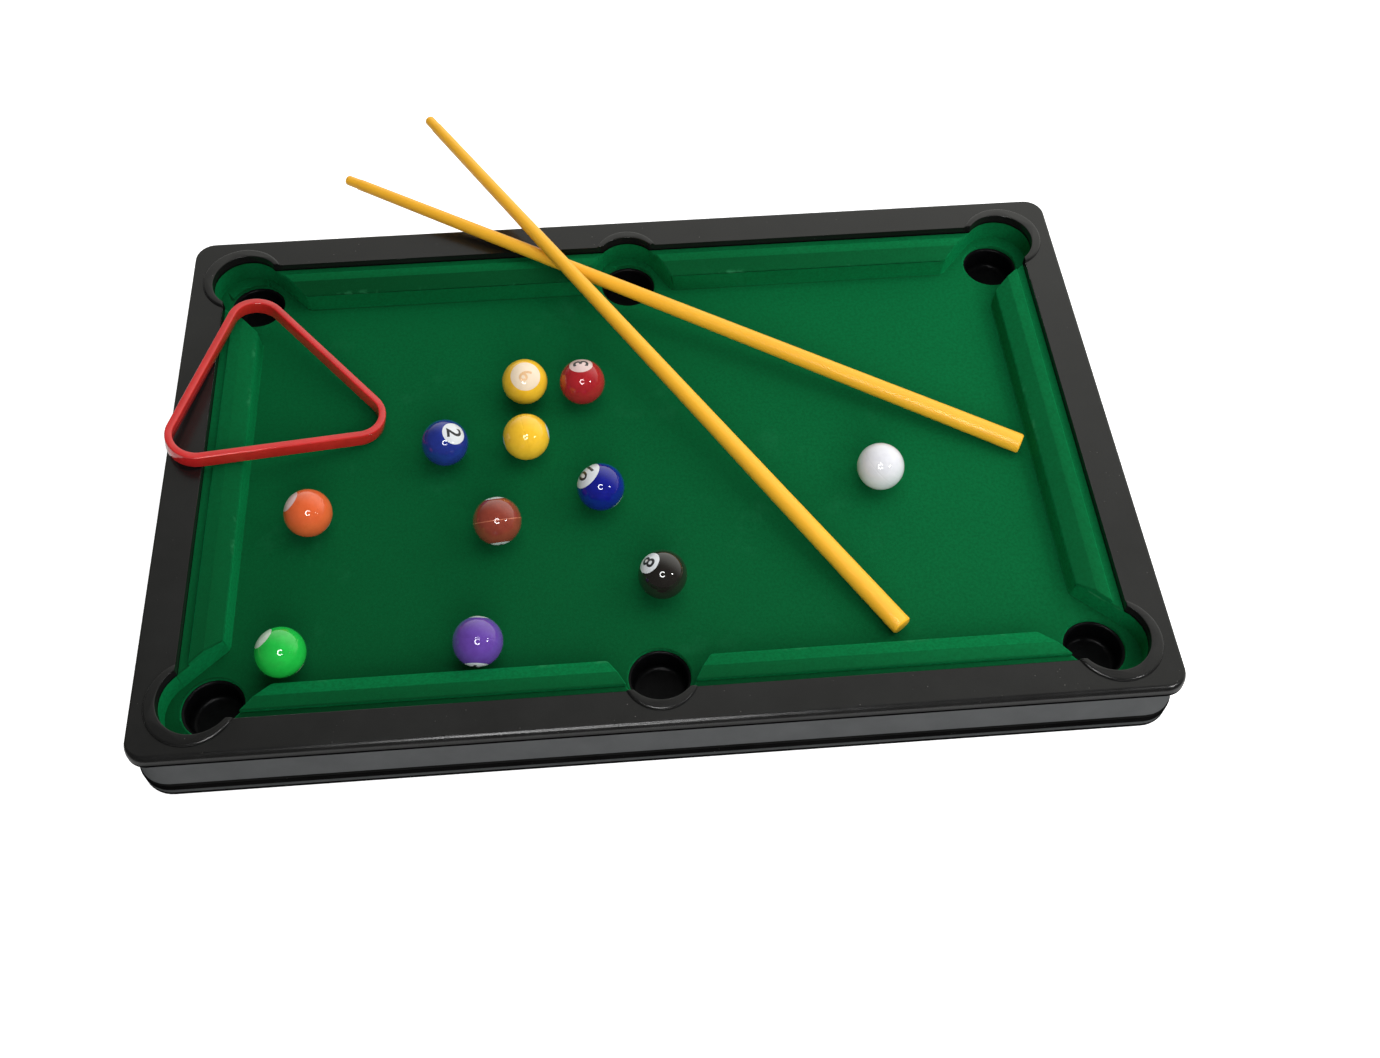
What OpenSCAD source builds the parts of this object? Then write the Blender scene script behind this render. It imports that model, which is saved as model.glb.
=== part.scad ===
// Tabletop pool game: a shallow moulded table with a flocked playing tray, six pocket cups,
// eleven balls, a triangle rack and two short cues.
// Millimetres. The origin is the centre of the base's underside, +X runs along the table's
// length, +Y to the far long side and +Z up. The rubber feet stand a little below the origin.

/* [Table] */
// Length of the rail's outer lip
table_l = 510; // [480:1:560]
// Width of the rail's outer lip
table_w = 330; // [315:1:360]
// Height of the playing surface above the base's underside
bed_z = 19.2; // [18:0.2:26]
// Height of the rail top above the playing surface
rail_rise = 18; // [17:0.25:22]

/* [Rail frame] */
// Width of the flat rail from the lip to the opening
rail_w = 20; // [19:0.5:24]
// Thickness of the rail's top wall
rail_t = 3; // [2:0.25:4]
// Corner radius of the lip
lip_corner_r = 11; // [9:0.5:14]
// Height of the overhanging lip
lip_h = 5.5; // [4.5:0.25:7]
// Thickness of the lip
lip_t = 2.6; // [2:0.2:3]
// Radius that softens the lip's upper edge
lip_edge_r = 1.2; // [0.6:0.1:1.6]
// Distance from the lip's face back to the top of the skirt
skirt_inset = 1.6; // [0.8:0.1:2.4]
// Distance that the foot of the skirt stands out past the lip's face
skirt_outset = 0.5; // [0:0.1:1]
// Thickness of the skirt
skirt_t = 2.5; // [2:0.1:3]
// Corner radius of the skirt and of the base band, at the lip's outline
skirt_corner_r = 16.5; // [14:0.5:20]
// Thickness of the short wall round the opening
inner_wall_t = 2; // [1.6:0.1:2.6]

/* [Pockets] */
// Distance from the rail's inner edge to a pocket's centre
pocket_inset = 15; // [14:0.5:16]
// Radius of the hole in the bed
hole_r = 15.7; // [15:0.1:16.5]
// Radius of the round notch in the rail at a corner
corner_notch_r = 19.2; // [18.5:0.1:20]
// Shift of a corner notch from the pocket's centre towards the corner, along both sides
corner_notch_shift = 3.3; // [2.5:0.1:4]
// Radius of the round notch in the rail at a middle pocket
mid_notch_r = 18.2; // [17.8:0.1:19]
// Shift of a middle notch from the pocket's centre away from the bed
mid_notch_shift = 3.1; // [2.5:0.1:4]
// Height of the raised collar round a notch, and radius of its outer edge's rounding
collar_h = 1.3; // [0.8:0.1:2]
// Radius of a corner collar's foot
corner_collar_r = 23.1; // [22.5:0.1:24]
// Shift of a corner collar from the pocket's centre towards the corner, along both sides
corner_collar_shift = 5.3; // [4.5:0.1:6]
// Radius of a middle collar's foot
mid_collar_r = 18.8; // [18.2:0.1:19.4]
// Shift of a middle collar from the pocket's centre away from the bed
mid_collar_shift = 7.8; // [7:0.1:8.5]

/* [Playing tray] */
// Thickness of the bed
bed_t = 2; // [1.6:0.1:2.6]
// Wall thickness of the cushions, bays and flange
tray_t = 1.6; // [1.2:0.1:2]
// Height of the ledge along the rail above the bed
ledge_rise = 13.2; // [12:0.1:14]
// Width of the flange clamped under the rail
flange_w = 8; // [6:0.25:8.2]
// Width of the flange round a pocket bay
bay_flange_w = 4.6; // [3:0.2:5]
// Setback of a bay's wall behind the notch
bay_gap = 0.3; // [0.1:0.1:0.6]
// Width of a middle bay's floor beyond its hole, towards the bed
bay_floor_w = 8; // [6:0.5:10]

/* [Cushions] */
// Width of the ledge between the rail and the cushion's back
back_d = 4.8; // [4:0.1:6]
// Height of the cushion's back edge above the bed
back_rise = 15.4; // [14.8:0.1:15.8]
// Distance of the ridge from the rail
ridge_d = 11.7; // [10:0.1:13]
// Height of the ridge above the bed
ridge_rise = 16; // [15.9:0.1:16.8]
// Distance of the nose from the rail
nose_d = 20; // [18:0.25:22]
// Height of the nose above the bed
nose_rise = 12; // [10:0.25:13]
// Distance that the foot of the nose wall stands in front of the nose
foot_out = 0.8; // [0:0.1:1.2]
// Radius that softens the nose
nose_r = 1.4; // [0.8:0.1:2]
// Radius that softens the ridge and the back edge
ridge_r = 1; // [0.5:0.1:1.4]
// Radius that softens a cushion's end at the nose
end_r = 5; // [3:0.25:6]
// Distance from a corner pocket's centre to the cushion's end, along the nose
corner_mouth = 30.5; // [28:0.5:34]
// Distance from a middle pocket's centre to the cushion's end, along the nose
mid_mouth = 25.5; // [24:0.5:30]

/* [Pocket cups] */
// Inner radius of a cup
cup_r = 14; // [13.6:0.1:14.6]
// Wall thickness of a cup
cup_t = 1.4; // [1:0.1:1.8]
// Radius of the rolled edge at the cup's mouth
cup_lip_r = 1.8; // [1:0.1:2]
// Width of the cup's flange beyond its wall
cup_flange_w = 2.6; // [2:0.1:3]
// Radius inside the cup's floor
cup_floor_r = 3; // [1:0.25:4]

/* [Base] */
// Distance that the base band stands out past the lip's face
base_outset = 1; // [0.6:0.1:1.6]
// Height of the base band
base_h = 9.7; // [8:0.1:11]
// Thickness of the bottom panel
floor_t = 2.2; // [2:0.1:3]
// Bevel along the band's lower edge
base_bevel = 0.8; // [0.4:0.1:1.2]
// Height of the tongue that locates the skirt
tongue_h = 2.3; // [1.5:0.1:3]
// Thickness of the tongue
tongue_t = 1.4; // [1:0.1:1.8]
// Clearance between the tongue and the skirt
tongue_gap = 0.3; // [0.2:0.05:0.5]
// Thickness of the ribs under the bed
rib_t = 1.6; // [1.2:0.1:2]
// Number of cross ribs under the bed
cross_ribs = 5; // [3:1:7]
// Distance between the two long ribs
long_rib_gap = 120; // [80:1:140]
// Distance from the outer ribs' ends to the nose of the nearest cushion
rib_end = 26; // [24:1:40]
// Height of the ring that seats a cup
seat_h = 1.8; // [1:0.1:1.9]
// Clearance between a cup and its ring
seat_gap = 0.2; // [0.1:0.05:0.4]

/* [Screws] */
// Radius of a screw's shank
screw_r = 1.45; // [1.25:0.05:1.6]
// Radius of a screw's head
head_r = 3; // [2.6:0.1:3.2]
// Height of a screw's head
head_h = 2; // [1.6:0.1:2.4]
// Length of the shank under the head
shank_l = 18; // [14:0.5:20]
// Clearance round the head and shank in the base rim
screw_gap = 0.3; // [0.2:0.05:0.4]
// Clearance round the shank in the rail frame
pilot_gap = 0.05; // [0.02:0.01:0.1]
// Extra radius of the boss under a pillar
boss_grow = 1; // [0.8:0.1:1]
// Radius of a screw pillar
pillar_r = 4; // [3.8:0.1:4.1]
// Distance from the lip's face to the centre of a pillar
pillar_inset = 7.6; // [7.4:0.1:8]
// Distance of the inner pillars from the middle of a long side
pillar_x1 = 55; // [45:1:80]
// Distance of the outer pillars from the middle of a long side
pillar_x2 = 160; // [120:1:170]
// Distance of the pillars from the middle of a short side
pillar_y = 45; // [20:1:70]

/* [Foot pads] */
// Radius of a rubber pad
pad_r = 9; // [6:0.5:12]
// Thickness of a pad
pad_t = 2; // [1.6:0.1:3]
// Depth of the recess that holds a pad
pad_recess = 1.2; // [0.8:0.1:1.4]
// Distance from the lip's faces to the centre of a pad
pad_inset = 27; // [24:1:40]

/* [Balls] */
// Diameter of every ball
ball_d = 25.4; // [24.5:0.1:26]
// Gap between a loose piece and what it rests on
rest_gap = 0.3; // [0.2:0.05:0.4]
// Least gap between a ball and a cushion
ball_margin = 1; // [0.5:0.1:2]
// Place of ball 1, as shares of a ball's run from the centre
ball_1_at = [-0.312, 0.117]; // [-1:0.001:1]
// Place of ball 2
ball_2_at = [-0.532, 0.111]; // [-1:0.001:1]
// Place of ball 3
ball_3_at = [-0.152, 0.44]; // [-1:0.001:1]
// Place of ball 4
ball_4_at = [-0.444, -0.999]; // [-1:0.001:1]
// Place of ball 5
ball_5_at = [-0.887, -0.252]; // [-1:0.001:1]
// Place of ball 6
ball_6_at = [-0.928, -0.987]; // [-1:0.001:1]
// Place of ball 7
ball_7_at = [-0.393, -0.364]; // [-1:0.001:1]
// Place of ball 8
ball_8_at = [0.026, -0.714]; // [-1:0.001:1]
// Place of ball 9
ball_9_at = [-0.312, 0.463]; // [-1:0.001:1]
// Place of ball 10
ball_10_at = [-0.118, -0.207]; // [-1:0.001:1]
// Place of the cue ball
cue_ball_at = [0.634, -0.189]; // [-1:0.001:1]

/* [Rack] */
// Distance between the centres of the rack's corner curves
rack_side = 84; // [80:0.5:90]
// Inner radius of the rack's corners
rack_in_r = 12.8; // [12:0.1:14]
// Thickness of the rack's bars
rack_t = 4; // [3:0.1:5]
// Height of the rack's bars
rack_h = 8.6; // [7:0.1:11]
// Distance of the rack's centre from the rail's left inner edge
rack_from_rail = 31.3; // [29:0.1:36]
// Distance of the rack's centre from the table's middle line
rack_y = 51.5; // [40:0.5:56]
// Turn of the rack in its own plane
rack_turn = 13.2; // [5:0.1:20]

/* [Cues] */
// Length of a cue
cue_l = 430; // [410:1:450]
// Radius at the butt
cue_butt_r = 5.5; // [5:0.1:6]
// Radius where the shaft meets the tip
cue_neck_r = 3.3; // [2.8:0.1:3.6]
// Radius of the tip
cue_tip_r = 3; // [2.5:0.1:3.2]
// Length of the tip
cue_tip_l = 9; // [6:0.5:12]
// Radius that softens the tip's end
cue_tip_end_r = 2; // [1:0.1:2.4]
// Bevel at the butt
cue_bevel = 0.8; // [0.4:0.1:1.2]
// Distance of the lower cue's butt from the rail's right inner edge
cue_a_from_end = 27; // [22:0.5:34]
// Distance of the lower cue's butt from the table's middle line, towards the near side
cue_a_y = 7; // [0:0.5:12]
// Direction of the lower cue, anticlockwise from the table's right end
cue_a_turn = 150.7; // [149:0.1:152]
// Distance of the upper cue's butt from the table's centre, along its length
cue_b_x = 124; // [115:0.5:130]
// Distance of the upper cue's butt from the near rail's inner edge
cue_b_from_side = 31; // [29:0.5:36]
// Direction of the upper cue, anticlockwise from the table's right end
cue_b_turn = 124.1; // [123:0.1:126]

/* [Hidden] */
$fn = 96;
eps = 0.01;
arc_steps = 5;
rail_z = bed_z + rail_rise;
ledge_z = bed_z + ledge_rise;
bed_under_z = bed_z - bed_t;
lip_z = rail_z - lip_h;
open_x = table_l / 2 - rail_w;
open_y = table_w / 2 - rail_w;
pocket_x = open_x - pocket_inset;
pocket_y = open_y - pocket_inset;
corner_bay_r = corner_notch_r + bay_gap;
mid_bay_r = mid_notch_r + bay_gap;
corner_depth = pocket_inset - corner_notch_shift;
mid_depth = pocket_inset - mid_notch_shift;
corner_chord = sqrt(corner_bay_r * corner_bay_r - corner_depth * corner_depth) - corner_notch_shift;
mid_chord = sqrt(mid_bay_r * mid_bay_r - mid_depth * mid_depth);
mid_floor_y = pocket_y - hole_r - bay_floor_w;
foot_d = nose_d + foot_out;
nose_x = open_x - nose_d;
nose_y = open_y - nose_d;
foot_x = open_x - foot_d;
foot_y = open_y - foot_d;
joint_z = base_h + tongue_h;
boss_r = pillar_r + boss_grow;
seat_r = cup_r + cup_t + seat_gap;
screw_seat_z = floor_t + head_h / 2;
pilot_l = screw_seat_z + shank_l - joint_z + 1;
ball_r = ball_d / 2;
run_x = foot_x - ball_r - ball_margin;
run_y = foot_y - ball_r - ball_margin;
POCKETS = [[-1, 1], [0, 1], [1, 1], [-1, -1], [0, -1], [1, -1]];
PILLARS = [
  for (sx = [-1, 1], sy = [-1, 1], x = [pillar_x1, pillar_x2])
    [sx * x, sy * (table_w / 2 - pillar_inset), 90 * sy],
  for (sx = [-1, 1], sy = [-1, 1])
    [sx * (table_l / 2 - pillar_inset), sy * pillar_y, sx > 0 ? 0 : 180]
];

// Points of a fillet of radius r at corner p between the edges to a and b
function unit(v) = v / norm(v);
function fillet(a, p, b, r) =
  let (
    u = unit(a - p),
    v = unit(b - p),
    half = acos(u * v) / 2,
    c = p + unit(u + v) * r / sin(half),
    s = p + u * r / tan(half) - c,
    e = p + v * r / tan(half) - c,
    start = atan2(s.y, s.x),
    turn = (atan2(e.y, e.x) - start + 540) % 360 - 180
  )
  [for (i = [0:arc_steps]) c + r * [cos(start + turn * i / arc_steps), sin(start + turn * i / arc_steps)]];

// Outline through points [x, y, radius], each corner filleted by its own radius
function soft_outline(p) = [
  for (i = [0:len(p) - 1])
    let (
      q = [p[i].x, p[i].y],
      before = p[(i + len(p) - 1) % len(p)],
      after = p[(i + 1) % len(p)]
    )
    each p[i].z > 0
      ? fillet([before.x, before.y], q, [after.x, after.y], p[i].z)
      : [q]
];

module rounded_rect(l, w, r) {
  square([l - 2 * r, w], center = true);
  square([l, w - 2 * r], center = true);
  for (sx = [-1, 1], sy = [-1, 1])
    translate([sx * (l / 2 - r), sy * (w / 2 - r)])
      circle(r);
}

// Runs a profile round a rectangle with rounded corners: the profile's x is the distance
// out from the outline and its y the height
module rim(l, w, r) {
  for (m = [0, 1]) {
    mirror([0, m, 0])
      translate([-(l / 2 - r), w / 2, 0])
        rotate([90, 0, 90])
          linear_extrude(l - 2 * r)
            children();
    mirror([m, 0, 0])
      translate([l / 2, w / 2 - r, 0])
        rotate([90, 0, 0])
          linear_extrude(w - 2 * r)
            children();
    for (k = [0, 1])
      mirror([m, 0, 0])
        mirror([0, k, 0])
          translate([l / 2 - r, w / 2 - r, 0])
            rotate_extrude(angle = 90)
              translate([r, 0])
                children();
  }
}

// Middle of the notch, or of the collar, at pocket number i, from its shift at a corner or middle
function shifted(i, corner_shift, mid_shift) =
  let (p = POCKETS[i])
  p.x == 0
    ? [0, p.y * (pocket_y + mid_shift)]
    : [p.x * (pocket_x + corner_shift), p.y * (pocket_y + corner_shift)];

// Plan of the round notch at pocket number i, grown outwards by g
module notch(i, g = 0) {
  translate(shifted(i, corner_notch_shift, mid_notch_shift))
    circle((POCKETS[i].x == 0 ? mid_notch_r : corner_notch_r) + g);
}

module rail_square(g = 0) {
  square([2 * (open_x + g), 2 * (open_y + g)], center = true);
}

// Plan of the rail's opening, grown outwards by g
module opening(g = 0) {
  rail_square(g);
  for (i = [0:5])
    notch(i, g);
}

// Raised collar at pocket number i, with a rounded outer edge
module collar(i) {
  r = POCKETS[i].x == 0 ? mid_collar_r : corner_collar_r;
  translate(shifted(i, corner_collar_shift, mid_collar_shift))
    rotate_extrude()
      polygon(soft_outline([
        [0, rail_z - rail_t / 2, 0],
        [r, rail_z - rail_t / 2, 0],
        [r, rail_z + collar_h, collar_h],
        [0, rail_z + collar_h, 0]
      ]));
}

module lip_profile() {
  polygon(soft_outline([
    [-lip_t - lip_edge_r, rail_z - rail_t, 0],
    [-lip_t - lip_edge_r, rail_z, 0],
    [0, rail_z, lip_edge_r],
    [0, lip_z, 0],
    [-lip_t, lip_z, 0],
    [-lip_t, rail_z - rail_t, 0]
  ]));
}

module skirt_profile() {
  polygon([
    [skirt_outset, base_h],
    [-skirt_inset, lip_z],
    [-skirt_inset, rail_z - rail_t / 2],
    [-skirt_inset - skirt_t, rail_z - rail_t / 2],
    [-skirt_inset - skirt_t, lip_z],
    [skirt_outset - skirt_t, base_h]
  ]);
}

module rail_pillar() {
  difference() {
    union() {
      translate([0, 0, joint_z])
        cylinder(r = pillar_r, h = rail_z - rail_t / 2 - joint_z);
      translate([0, -rib_t / 2, joint_z])
        cube([pillar_inset - skirt_inset - skirt_t / 2, rib_t, rail_z - rail_t / 2 - joint_z]);
    }
    translate([0, 0, joint_z - 1])
      cylinder(r = screw_r + pilot_gap, h = pilot_l + 1, $fn = 32);
  }
}

// Black surround: flat rail, lip, flared skirt, notches, collars and screw pillars
module rail_frame() {
  color("#2b2b2b") {
    difference() {
      union() {
        translate([0, 0, rail_z - rail_t])
          linear_extrude(rail_t)
            rounded_rect(table_l - 2 * lip_edge_r - lip_t, table_w - 2 * lip_edge_r - lip_t, lip_corner_r - lip_edge_r - lip_t / 2);
        rim(table_l, table_w, lip_corner_r)
          lip_profile();
        rim(table_l, table_w, skirt_corner_r)
          skirt_profile();
        translate([0, 0, ledge_z])
          linear_extrude(rail_z - rail_t / 2 - ledge_z)
            opening(inner_wall_t);
        for (i = [0:5])
          collar(i);
      }
      translate([0, 0, ledge_z - 1])
        linear_extrude(rail_rise + collar_h)
          opening();
    }
    for (p = PILLARS)
      translate([p.x, p.y, 0])
        rotate([0, 0, p.z])
          rail_pillar();
  }
}

// Place of a cushion's end at distance d from the rail, between its ends at rail and nose
function end_at(rail_end, nose_end, d) = rail_end + (nose_end - rail_end) * d / nose_d;

// Cushion section: x is the distance from the rail, towards the bed, y the height above the bed
module cushion_section() {
  polygon(soft_outline([
    [-tray_t, 0, 0],
    [-tray_t, ledge_rise, 0],
    [back_d, ledge_rise, 0],
    [back_d, back_rise, ridge_r],
    [ridge_d, ridge_rise, ridge_r],
    [nose_d, nose_rise, nose_r],
    [foot_d, 0, 0]
  ]));
}

module cushion_hollow() {
  polygon([
    [-tray_t - 1, -1],
    [-tray_t - 1, ledge_rise - tray_t],
    [back_d + tray_t, ledge_rise - tray_t],
    [back_d + tray_t, back_rise - tray_t],
    [ridge_d, ridge_rise - tray_t],
    [nose_d - tray_t, nose_rise - tray_t],
    [foot_d - tray_t, 0],
    [foot_d - tray_t, -1]
  ]);
}

// Straight run of a section beside the rail, from x0 to x1
module section_run(x0, x1) {
  translate([x0, 0, 0])
    rotate([90, 0, 90])
      linear_extrude(x1 - x0)
        mirror([1, 0])
          children();
}

// Plan of a cushion: a trapezium with rounded nose corners, drawn in by g at both ends
module cushion_plan(rail0, nose0, rail1, nose1, g, r) {
  polygon(soft_outline([
    [end_at(rail0, nose0, -2 * tray_t) + g, 2 * tray_t, 0],
    [end_at(rail1, nose1, -2 * tray_t) - g, 2 * tray_t, 0],
    [end_at(rail1, nose1, foot_d) - g, -foot_d, r],
    [end_at(rail0, nose0, foot_d) + g, -foot_d, r]
  ]));
}

// Hollow cushion with closed, mitred ends; the rail's edge is at y = 0
module cushion(rail0, nose0, rail1, nose1) {
  difference() {
    intersection() {
      section_run(min(rail0, nose0) - 5, max(rail1, nose1) + 5)
        cushion_section();
      linear_extrude(ridge_rise + 1)
        cushion_plan(rail0, nose0, rail1, nose1, 0, end_r);
    }
    intersection() {
      section_run(min(rail0, nose0) - 5, max(rail1, nose1) + 5)
        cushion_hollow();
      translate([0, 0, -1])
        linear_extrude(ridge_rise + 1)
          cushion_plan(rail0, nose0, rail1, nose1, tray_t, 0);
    }
  }
}

// Plan of the floor between two cushions' ends at pocket number i, carried under the end
// walls by g or kept clear of them by -g; a middle one reaches in round its hole
module mouth(i, g) {
  p = POCKETS[i];
  mirror([p.x < 0 ? 1 : 0, 0])
    mirror([0, p.y < 0 ? 1 : 0])
      if (p.x == 0)
        polygon([
          [-mid_chord - g, open_y + tray_t / 2],
          [-mid_chord - g, open_y],
          [-mid_mouth - g, nose_y],
          [-mid_mouth - g, mid_floor_y],
          [mid_mouth + g, mid_floor_y],
          [mid_mouth + g, nose_y],
          [mid_chord + g, open_y],
          [mid_chord + g, open_y + tray_t / 2]
        ]);
      else
        polygon([
          [pocket_x - corner_chord - g, open_y + tray_t / 2],
          [pocket_x - corner_chord - g, open_y],
          [pocket_x - corner_mouth - g, nose_y],
          [nose_x, pocket_y - corner_mouth - g],
          [open_x, pocket_y - corner_chord - g],
          [open_x + tray_t / 2, pocket_y - corner_chord - g],
          [open_x + tray_t / 2, open_y + tray_t / 2]
        ]);
}

// Plan of bay number i with a rim of width w, outside the rail's straight edges
module bay_outside(i, w) {
  difference() {
    notch(i, bay_gap + w);
    rail_square();
  }
}

// Flat bed of the green flocked tray, with a rim that carries the cushions' walls
module playing_bed() {
  color("#0c5c34")
    translate([0, 0, bed_under_z])
      linear_extrude(bed_t)
        difference() {
          union() {
            square([2 * (foot_x + tray_t), 2 * (foot_y + tray_t)], center = true);
            intersection() {
              rail_square();
              for (i = [0:5])
                mouth(i, tray_t);
            }
          }
          for (i = [0:5])
            mouth(i, -tray_t);
        }
}

// Space that bay number i takes from the cushions beside it
module bay_room(i) {
  translate([0, 0, bed_under_z - 1])
    linear_extrude(ledge_z - bed_under_z + 2)
      bay_outside(i, tray_t);
  translate([0, 0, ledge_z - tray_t])
    linear_extrude(tray_t + 1)
      bay_outside(i, bay_flange_w);
}

// Cushion on half of a long side, from the middle bay to a corner bay, with its strip of flange
module long_cushion(sx, sy) {
  color("#0c5c34")
    mirror([sx < 0 ? 1 : 0, 0, 0])
      mirror([0, sy < 0 ? 1 : 0, 0])
        difference() {
          union() {
            translate([0, open_y, bed_z])
              cushion(mid_chord, mid_mouth, pocket_x - corner_chord, pocket_x - corner_mouth);
            translate([0, open_y, ledge_z - tray_t])
              cube([pocket_x, flange_w, tray_t]);
          }
          bay_room(1);
          bay_room(2);
        }
}

// Cushion on a short side, between two corner bays, with its strip of flange
module short_cushion(sx) {
  color("#0c5c34")
    mirror([sx < 0 ? 1 : 0, 0, 0])
      difference() {
        union() {
          translate([open_x, 0, bed_z])
            rotate([0, 0, -90])
              cushion(corner_chord - pocket_y, corner_mouth - pocket_y, pocket_y - corner_chord, pocket_y - corner_mouth);
          translate([open_x, -pocket_y, ledge_z - tray_t])
            cube([flange_w, 2 * pocket_y, tray_t]);
        }
        bay_room(2);
        bay_room(5);
      }
}

module cushion_back_left() { long_cushion(-1, 1); }
module cushion_back_right() { long_cushion(1, 1); }
module cushion_front_left() { long_cushion(-1, -1); }
module cushion_front_right() { long_cushion(1, -1); }
module cushion_left() { short_cushion(-1); }
module cushion_right() { short_cushion(1); }

// Part of the tray at pocket number i: floor with the hole, wall round the notch and flange
module pocket_bay(i) {
  color("#0c5c34") {
    translate([0, 0, bed_under_z])
      linear_extrude(bed_t)
        difference() {
          union() {
            mouth(i, -tray_t);
            bay_outside(i, tray_t);
          }
          translate([POCKETS[i].x * pocket_x, POCKETS[i].y * pocket_y])
            circle(hole_r);
        }
    translate([0, 0, bed_under_z])
      linear_extrude(ledge_z - bed_under_z)
        difference() {
          bay_outside(i, tray_t);
          notch(i, bay_gap);
        }
    translate([0, 0, ledge_z - tray_t])
      linear_extrude(tray_t)
        difference() {
          bay_outside(i, bay_flange_w);
          notch(i, bay_gap);
        }
  }
}

module pocket_bay_back_left() { pocket_bay(0); }
module pocket_bay_back_middle() { pocket_bay(1); }
module pocket_bay_back_right() { pocket_bay(2); }
module pocket_bay_front_left() { pocket_bay(3); }
module pocket_bay_front_middle() { pocket_bay(4); }
module pocket_bay_front_right() { pocket_bay(5); }

// Outer face of the tongue at its top, where the leaning skirt comes closest
tongue_out = skirt_outset - skirt_t - tongue_gap
  - (skirt_outset + skirt_inset) * tongue_h / (lip_z - base_h);

// Section of the rim: x is the distance out from the lip's outline and y the height
module base_profile() {
  polygon([
    [tongue_out - tongue_t, 0],
    [base_outset - base_bevel, 0],
    [base_outset, base_bevel],
    [base_outset, base_h],
    [tongue_out, base_h],
    [tongue_out, joint_z],
    [tongue_out - tongue_t, joint_z]
  ]);
}

// Rim of the base: band, tongue that locates the skirt and counterbored screw bosses
module base_rim() {
  color("#262626")
    difference() {
      union() {
        rim(table_l, table_w, skirt_corner_r)
          base_profile();
        for (p = PILLARS)
          translate([p.x, p.y, 0])
            cylinder(r = boss_r, h = joint_z);
      }
      for (p = PILLARS)
        translate([p.x, p.y, -1]) {
          cylinder(r = screw_r + screw_gap, h = joint_z + 2, $fn = 32);
          cylinder(r = head_r + screw_gap, h = screw_seat_z + 1, $fn = 48);
        }
    }
}

// Panel inside the rim: rings that seat the cups and recesses for the pads
module bottom_panel() {
  panel_edge = tongue_out - tongue_t;
  color("#262626")
    difference() {
      union() {
        linear_extrude(floor_t)
          rounded_rect(table_l + 2 * panel_edge, table_w + 2 * panel_edge, skirt_corner_r + panel_edge);
        for (p = POCKETS)
          translate([p.x * pocket_x, p.y * pocket_y, 0])
            cylinder(r = seat_r + rib_t, h = floor_t + seat_h);
      }
      for (p = POCKETS)
        translate([p.x * pocket_x, p.y * pocket_y, floor_t])
          cylinder(r = seat_r, h = seat_h + 1);
      for (p = PILLARS)
        translate([p.x, p.y, -1])
          cylinder(r = boss_r, h = floor_t + 2);
      for (sx = [-1, 1], sy = [-1, 1])
        translate([sx * (table_l / 2 - pad_inset), sy * (table_w / 2 - pad_inset), -1])
          cylinder(r = pad_r + seat_gap, h = pad_recess + 1);
    }
}

// Ribs that stand on the panel and carry the bed
module bed_ribs() {
  rib_x = nose_x - rib_end;
  rib_y = pocket_y - cup_r - cup_t - cup_flange_w - rib_t;
  color("#262626") {
    for (i = [0:cross_ribs - 1])
      translate([rib_x * (2 * i / (cross_ribs - 1) - 1) - rib_t / 2, -rib_y, floor_t])
        cube([rib_t, 2 * rib_y, bed_under_z - floor_t]);
    for (s = [-1, 1])
      translate([-rib_x, s * long_rib_gap / 2 - rib_t / 2, floor_t])
        cube([2 * rib_x, rib_t, bed_under_z - floor_t]);
  }
}

// Cup section: x is the radius, y the height above the base's underside
module cup_section() {
  polygon(concat(
    [[0, floor_t], [cup_r + cup_t, floor_t]],
    [[cup_r + cup_t, bed_under_z - cup_t], [cup_r + cup_t + cup_flange_w, bed_under_z - cup_t]],
    [[cup_r + cup_t + cup_flange_w, bed_under_z]],
    [for (i = [0:arc_steps])
      [cup_r + cup_lip_r * (1 - sin(90 * i / arc_steps)), bed_under_z - cup_lip_r * (1 - cos(90 * i / arc_steps))]],
    [for (i = [0:arc_steps])
      [cup_r - cup_floor_r * (1 - cos(90 * i / arc_steps)), floor_t + cup_t + cup_floor_r * (1 - sin(90 * i / arc_steps))]],
    [[0, floor_t + cup_t]]
  ));
}

// Black cup under pocket number i
module pocket_cup(i) {
  color("#1a1a1a")
    translate([POCKETS[i].x * pocket_x, POCKETS[i].y * pocket_y, 0])
      rotate_extrude()
        cup_section();
}

module pocket_cup_back_left() { pocket_cup(0); }
module pocket_cup_back_middle() { pocket_cup(1); }
module pocket_cup_back_right() { pocket_cup(2); }
module pocket_cup_front_left() { pocket_cup(3); }
module pocket_cup_front_middle() { pocket_cup(4); }
module pocket_cup_front_right() { pocket_cup(5); }

// One pan-head screw, point up, with a cross recess in its head
module screw() {
  difference() {
    union() {
      translate([0, 0, screw_seat_z - head_h])
        cylinder(r1 = head_r - 0.5, r2 = head_r, h = head_h, $fn = 48);
      translate([0, 0, screw_seat_z - eps])
        cylinder(r = screw_r, h = shank_l - screw_r, $fn = 32);
      translate([0, 0, screw_seat_z + shank_l - screw_r - 2 * eps])
        cylinder(r1 = screw_r, r2 = screw_r / 4, h = screw_r, $fn = 32);
    }
    for (a = [0, 90])
      rotate([0, 0, a])
        translate([-head_r / 2, -head_r / 8, screw_seat_z - head_h - 1])
          cube([head_r, head_r / 4, 1 + head_h / 2]);
  }
}

// The screws that hold the base's rim to the rail frame
module assembly_screws() {
  color("#8a8d90")
    for (p = PILLARS)
      translate([p.x, p.y, 0])
        screw();
}

// Rubber pads in the recesses under the bottom panel
module foot_pads() {
  color("#1c1c1c")
    for (sx = [-1, 1], sy = [-1, 1])
      translate([sx * (table_l / 2 - pad_inset), sy * (table_w / 2 - pad_inset), pad_recess - pad_t])
        cylinder(r = pad_r, h = pad_t);
}

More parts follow.
